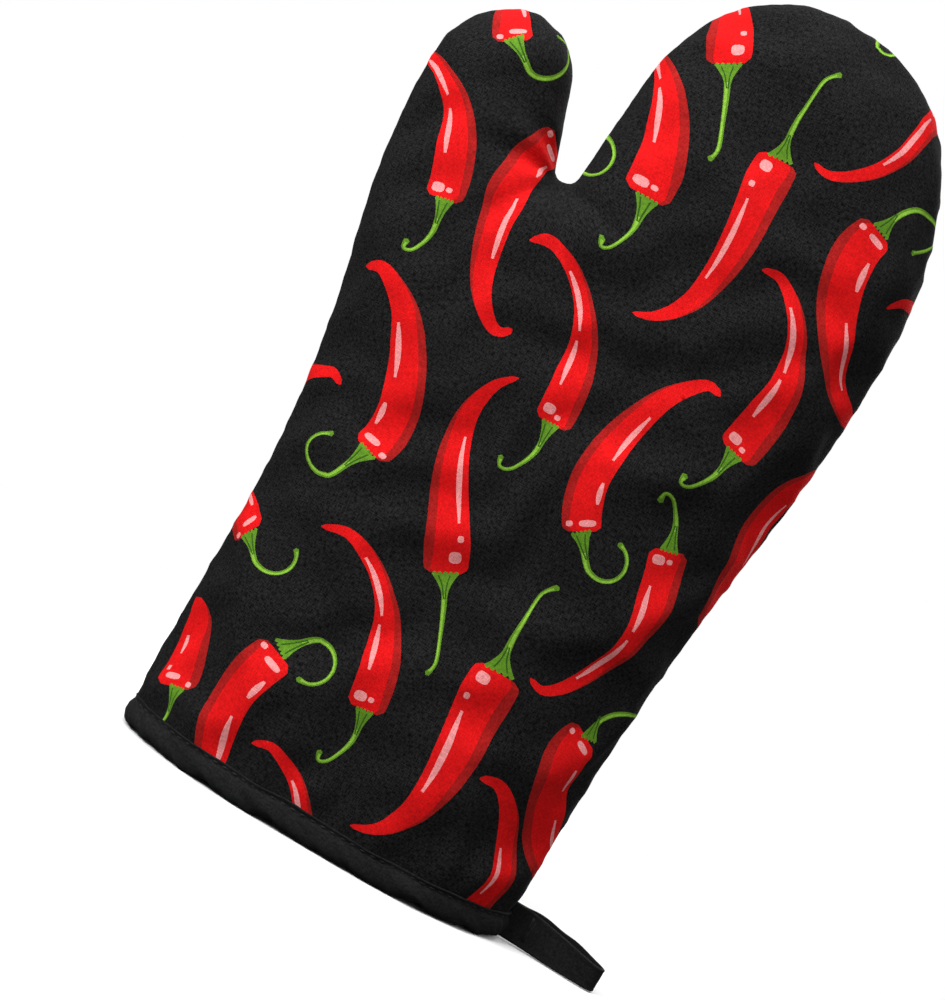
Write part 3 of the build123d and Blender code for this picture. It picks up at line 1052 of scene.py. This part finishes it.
def make_bartack(hinge, material):
    """Close stitches up and down across both legs of the loop."""
    half_height = LOOP_TAPE_WIDTH / 2 - 1.4
    rows = []
    for side in (FRONT, BACK):
        for k in range(TACK_STITCHES):
            x = hinge[0] + TACK_START + TACK_PITCH * k + TACK_WANDER * math.sin(k * 2.4)
            lean = TACK_LEAN * (-1) ** k
            y = side * (LEG_PLACE + LOOP_TAPE_THICKNESS / 2 + TACK_CLEAR)
            low = (x - lean, y, TACK_MIDDLE - half_height)
            high = (x + lean, y, TACK_MIDDLE + half_height)
            rows.append((low, high, side))
    pieces = []
    for low, high, side in rows:
        share = np.linspace(0, 1, 14)[:, None]
        path = np.array(low) * (1 - share) + np.array(high) * share
        outward = np.tile([0.0, float(side), 0.0], (len(path), 1))
        pieces.append(make_stitches("tack", path, outward, half_height * 2, half_height * 2 - 0.2,
                                    TACK_THREAD, material, closed=False))
    return join_pieces("bartack_stitches", pieces)


def join_pieces(name, pieces):
    """Makes one object of several meshes."""
    points, faces = [], []
    for piece in pieces:
        start = len(points)
        points.extend(np.array(v.co) / MM for v in piece.data.vertices)
        faces.extend(tuple(start + i for i in f.vertices) for f in piece.data.polygons)
    joined = make_mesh(name, points, faces)
    joined.data.materials.append(pieces[0].data.materials[0])
    for piece in pieces:
        bpy.data.objects.remove(piece)
    return joined


# ---- materials --------------------------------------------------------------------------------
def linear(r, g, b):
    """A colour as it looks on screen, from 0 to 255, as the shader's linear values."""
    def one(v):
        v /= 255
        return v / 12.92 if v <= 0.04045 else ((v + 0.055) / 1.055) ** 2.4
    return (one(r), one(g), one(b), 1.0)


INK_COLOURS = {
    "cloth": (20, 20, 20),
    "red": (200, 14, 16),
    "dark_red": (150, 22, 20),
    "pink": (220, 138, 138),
    "green": (84, 126, 30),
    "light_green": (122, 168, 54),
    "dark_green": (44, 80, 22),
}
INK_GRAIN = {"cloth": 1.0, "dark_red": 0.25}     # how strongly the threads show through
TAPE_COLOUR = (22, 22, 22)
THREAD_COLOUR = (17, 17, 18)
LINING_COLOUR = (38, 38, 40)
BATTING_COLOUR = (226, 221, 208)
THREAD_MAP = "threads"              # UV map that holds the flat chart
THREAD_WIDTH = 0.00034              # metres across one thread
SLUB_LENGTH = 0.0015                # metres along a thread before its thickness changes


class Shading:
    """A node material under construction."""

    def __init__(self, name):
        self.material = bpy.data.materials.new(name)
        self.material.use_nodes = True
        self.nodes = self.material.node_tree.nodes
        self.links = self.material.node_tree.links
        self.shader = self.nodes["Principled BSDF"]

    def wire(self, node, inputs):
        """Links or sets a node's inputs by name or number."""
        for key, value in inputs.items():
            if isinstance(value, bpy.types.NodeSocket):
                self.links.new(value, node.inputs[key])
            else:
                node.inputs[key].default_value = value
        return node

    def maths(self, operation, first, second=0.0):
        """A number worked out from one or two others."""
        node = self.nodes.new("ShaderNodeMath")
        node.operation = operation
        return self.wire(node, {0: first, 1: second}).outputs[0]

    def stretched(self, vector, factors):
        """Coordinates multiplied along each axis."""
        node = self.nodes.new("ShaderNodeVectorMath")
        node.operation = "MULTIPLY"
        return self.wire(node, {0: vector, 1: factors}).outputs[0]

    def noise(self, vector, scale=1.0, detail=2.0):
        """Smooth noise from 0 to 1."""
        node = self.nodes.new("ShaderNodeTexNoise")
        return self.wire(node, {"Vector": vector, "Scale": scale, "Detail": detail}).outputs["Fac"]

    def spread(self, value, low, high, to_low, to_high):
        """A range of values stretched over another."""
        node = self.nodes.new("ShaderNodeMapRange")
        return self.wire(node, {"Value": value, "From Min": low, "From Max": high,
                                "To Min": to_low, "To Max": to_high}).outputs["Result"]

    def tinted(self, colour, amount):
        """A colour made darker or brighter by an amount near one."""
        node = self.nodes.new("ShaderNodeVectorMath")
        node.operation = "SCALE"
        self.wire(node, {0: linear(*colour)[:3]})
        self.links.new(amount, node.inputs["Scale"])
        return node.outputs[0]

    def coordinates(self, kind):
        """Object coordinates, or the thread map of the flat cloth."""
        if kind == "Object":
            return self.nodes.new("ShaderNodeTexCoord").outputs["Object"]
        node = self.nodes.new("ShaderNodeUVMap")
        node.uv_map = kind
        return node.outputs["UV"]

    def finish(self, colour, roughness, height, relief, strength):
        """Wires the surface up and gives the material back."""
        bump = self.nodes.new("ShaderNodeBump")
        self.wire(bump, {"Strength": strength, "Distance": relief, "Height": height})
        self.wire(self.shader, {"Base Color": colour, "Roughness": roughness,
                                "Normal": bump.outputs["Normal"]})
        return self.material


def cloth_material(name, colour, where=THREAD_MAP, contrast=0.6, specular=0.1):
    """Plain-weave cotton: slubbed threads both ways, in colour, roughness and bump."""
    m = Shading(name)
    m.shader.inputs["Specular IOR Level"].default_value = specular
    place = m.coordinates(where)
    across, along = 1 / THREAD_WIDTH, 1 / SLUB_LENGTH
    if where == "Object":
        warp_scale, weft_scale = (across, across, along), (along, along, across)
    else:
        warp_scale, weft_scale = (across, along, 1.0), (along, across, 1.0)
    warp = m.noise(m.stretched(place, warp_scale))
    weft = m.noise(m.stretched(place, weft_scale))
    grain = m.maths("MULTIPLY", m.maths("ADD", warp, weft), 0.5)
    mottle = m.noise(m.stretched(place, (140.0, 140.0, 140.0)), 1.0, 3.0)
    amount = m.spread(grain, 0.39, 0.61, 1 - contrast, 1 + contrast)
    amount = m.maths("MULTIPLY", amount, m.spread(mottle, 0.3, 0.7, 0.88, 1.12))
    roughness = m.spread(grain, 0.3, 0.7, 0.98, 0.82)
    return m.finish(m.tinted(colour, amount), roughness, grain, 0.00016, 0.5)


def thread_material(name, colour):
    """Spun sewing thread: a fine twist along and across, with a slight gleam."""
    m = Shading(name)
    m.shader.inputs["Specular IOR Level"].default_value = 0.3
    place = m.coordinates("Object")
    twist = m.noise(m.stretched(place, (5200.0, 5200.0, 5200.0)), 1.0, 1.0)
    amount = m.spread(twist, 0.3, 0.7, 0.6, 1.4)
    return m.finish(m.tinted(colour, amount), m.spread(twist, 0.2, 0.8, 0.75, 0.55), twist, 0.00008, 0.6)


def batting_material(name):
    """Needled wadding: matted fibres with small felted clumps."""
    m = Shading(name)
    m.shader.inputs["Specular IOR Level"].default_value = 0.1
    m.shader.inputs["Sheen Weight"].default_value = 0.2
    place = m.coordinates("Object")
    fibres = m.noise(m.stretched(place, (1500.0, 1500.0, 600.0)), 1.0, 6.0)
    clumps = m.noise(m.stretched(place, (260.0, 260.0, 260.0)), 1.0, 3.0)
    both = m.maths("ADD", m.maths("MULTIPLY", fibres, 0.6), m.maths("MULTIPLY", clumps, 0.4))
    amount = m.spread(both, 0.3, 0.7, 0.82, 1.06)
    return m.finish(m.tinted(BATTING_COLOUR, amount), m.spread(clumps, 0.0, 1.0, 1.0, 0.9),
                    both, 0.0008, 0.7)


# ---- stage ------------------------------------------------------------------------------------
FLOOR_RADIUS = 4.0
FLOOR_DROP = 0.0003                 # how far the floor is under the cuff
FLOOR_BOUNCE = 0.15                 # how bright the floor is to everything but the camera
FLOOR_SEEN = 0.96                   # how bright it is to the camera
FLOOR_FADE = (0.12, 0.4)            # distances where it starts to fade to white and has faded
AMBIENT = 0.22                      # strength of the surroundings as a light
LIGHT_TARGET = (0, 0, 0.15)
# name, place, side of the square, watts
LIGHTS = [
    ("key", (-0.58, -0.54, 0.62), 0.4, 11),
    ("fill", (0.8, -0.55, 0.85), 0.6, 3.5),
    ("top", (-0.15, -0.15, 1.4), 1.2, 15),
    ("back", (0.5, 0.9, 0.7), 0.8, 7),
]


def make_camera():
    """The camera at the photograph's angle: level, square to the front, rolled by the lean."""
    data = bpy.data.cameras.new("camera")
    data.sensor_width = 36
    data.lens = 36 * CAMERA_DISTANCE / PICTURE_HEIGHT
    data.clip_start = 0.02
    data.clip_end = 50
    camera = bpy.data.objects.new("camera", data)
    right = Vector((math.cos(LEAN), 0, math.sin(LEAN)))
    up = Vector((-math.sin(LEAN), 0, math.cos(LEAN)))
    back = Vector((0, -1, 0))
    turned = Matrix((right, up, back)).transposed().to_4x4()
    camera.matrix_world = Matrix.Translation(Vector((AIM[0], -CAMERA_DISTANCE, AIM[1])) * MM) @ turned
    bpy.context.scene.collection.objects.link(camera)
    bpy.context.scene.camera = camera


def make_light(name, place, size, watts):
    """A soft square light that faces the middle of the mitt."""
    data = bpy.data.lights.new(name, "AREA")
    data.shape = "SQUARE"
    data.size = size
    data.energy = watts
    light = bpy.data.objects.new(name, data)
    light.location = place
    light.rotation_mode = "QUATERNION"
    light.rotation_quaternion = (Vector(LIGHT_TARGET) - Vector(place)).to_track_quat("-Z", "Y")
    bpy.context.scene.collection.objects.link(light)


def make_floor():
    """A pale round floor that fades into the white surroundings."""
    rim = [(math.cos(a) * FLOOR_RADIUS, math.sin(a) * FLOOR_RADIUS, 0)
           for a in np.linspace(0, 2 * math.pi, 96, endpoint=False)]
    mesh = bpy.data.meshes.new("floor")
    mesh.from_pydata(rim, [], [list(range(len(rim)))])
    floor = bpy.data.objects.new("floor", mesh)
    floor.location.z = -FLOOR_DROP
    bpy.context.scene.collection.objects.link(floor)
    m = Shading("floor")
    m.wire(m.shader, {"Roughness": 0.9, "Specular IOR Level": 0.1})
    seen = m.nodes.new("ShaderNodeLightPath").outputs["Is Camera Ray"]
    glow = m.spread(seen, 0.0, 1.0, FLOOR_BOUNCE, FLOOR_SEEN)
    m.wire(m.shader, {"Base Color": m.tinted((255, 255, 255), glow)})
    far = m.nodes.new("ShaderNodeVectorMath")
    far.operation = "LENGTH"
    m.wire(far, {0: m.coordinates("Object")})
    faded = m.spread(far.outputs["Value"], *FLOOR_FADE, 0.0, 1.0)
    white = m.wire(m.nodes.new("ShaderNodeEmission"), {"Strength": 1.0})
    mix = m.nodes.new("ShaderNodeMixShader")
    m.wire(mix, {0: m.maths("MULTIPLY", faded, seen), 1: m.shader.outputs[0], 2: white.outputs[0]})
    m.links.new(mix.outputs[0], m.nodes["Material Output"].inputs["Surface"])
    mesh.materials.append(m.material)


def make_surroundings():
    """White to look at, and dimmer as a light, so that the soft lights shape the mitt."""
    world = bpy.data.worlds.new("surroundings")
    world.use_nodes = True
    nodes, links = world.node_tree.nodes, world.node_tree.links
    nodes["Background"].inputs["Color"].default_value = (1, 1, 1, 1)
    strength = nodes.new("ShaderNodeMapRange")
    strength.inputs["To Min"].default_value = AMBIENT
    strength.inputs["To Max"].default_value = 1.0
    links.new(nodes.new("ShaderNodeLightPath").outputs["Is Camera Ray"], strength.inputs["Value"])
    links.new(strength.outputs["Result"], nodes["Background"].inputs["Strength"])
    bpy.context.scene.world = world


def make_stage():
    """Camera, floor, soft lights and white surroundings."""
    make_camera()
    make_floor()
    make_surroundings()
    for name, place, size, watts in LIGHTS:
        make_light(name, place, size, watts)
    bpy.context.scene.view_settings.view_transform = "Standard"


def settle(piece, body, slot, *nodes):
    """Says what a finished piece rides on and the nodes it stands for, which it hides; slot is not used.
    """
    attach(piece, body)
    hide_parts(*nodes)


def make_layers(outline):
    """Shell, batting and lining, each a front and a back half."""
    inks = {ink: cloth_material("print_" + ink, INK_COLOURS[ink], contrast=INK_GRAIN.get(ink, 0.2))
            for ink in INKS}
    batting = batting_material("needled_batting")
    lining = cloth_material("lining_cotton", LINING_COLOUR, contrast=0.35)
    area = flat_area(outline)
    edge = panel_edge(outline, HIDDEN_GRID)
    halves = ((FRONT, "front", front_print(outline)), (BACK, "back", back_print()))
    for side, word, shapes in halves:
        panel = make_panel("printed_" + word, outline, side, shapes, inks)
        settle(panel, "mitt", "printed_cotton", word + "_panel")
        wadding = make_batting("wadding_" + word, outline, side, batting)
        settle(wadding, "mitt", "batting", word + "_batting")
        inside = make_lining("lining_" + word, outline, side, lining)
        settle(inside, "mitt", "lining_cotton", word + "_lining")


def make_cuff(outline, thread):
    """The binding and its stitches, outside and inside."""
    tape = cloth_material("bias_tape", TAPE_COLOUR, "Object", contrast=0.5, specular=0.15)
    settle(make_binding(outline, tape), "mitt", "binding_tape", "cuff_binding")
    outer = make_cuff_stitches(outline, "binding_stitches_outside", OUTER_LEAF, thread)
    settle(outer, "mitt", "black_thread", "binding_stitch_outer")
    inner = make_cuff_stitches(outline, "binding_stitches_inside", INNER_LEAF, thread)
    settle(inner, "mitt", "black_thread", "binding_stitch_inner")
    return tape


def make_hanging_loop(tape, thread):
    """The loop, laid out about the hinge line, and its bartack, which rides on the loop's own body."""
    hinge = hinge_place()
    loop = make_loop(hinge, tape)
    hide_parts("hang_loop")
    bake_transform(loop)
    settle(make_bartack(hinge, thread), "loop", "black_thread", "loop_bartack")


def hinge_place():
    """The loop's hinge line, in millimetres."""
    low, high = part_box("loop_bartack")
    middle = (np.array(low) + np.array(high)) / 2 / MM
    return (middle[0] - BARTACK_PLACE, 0.0, 0.0)


def main():
    """Builds the stage and every piece."""
    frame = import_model()
    make_stage()
    outline = Outline()
    settle_cloth(outline)
    make_layers(outline)
    thread = thread_material("sewing_thread", THREAD_COLOUR)
    tape = make_cuff(outline, thread)
    make_hanging_loop(tape, thread)
    for node in ("shell_seam_thread", "lining_seam_thread"):
        give_material(frame, node, thread)


def give_material(frame, node, material):
    """Puts a material on a CAD node that stays as it is."""
    piece = frame["nodes"][node]
    for slot in piece.material_slots:
        slot.link = "OBJECT"
        slot.material = material


main()
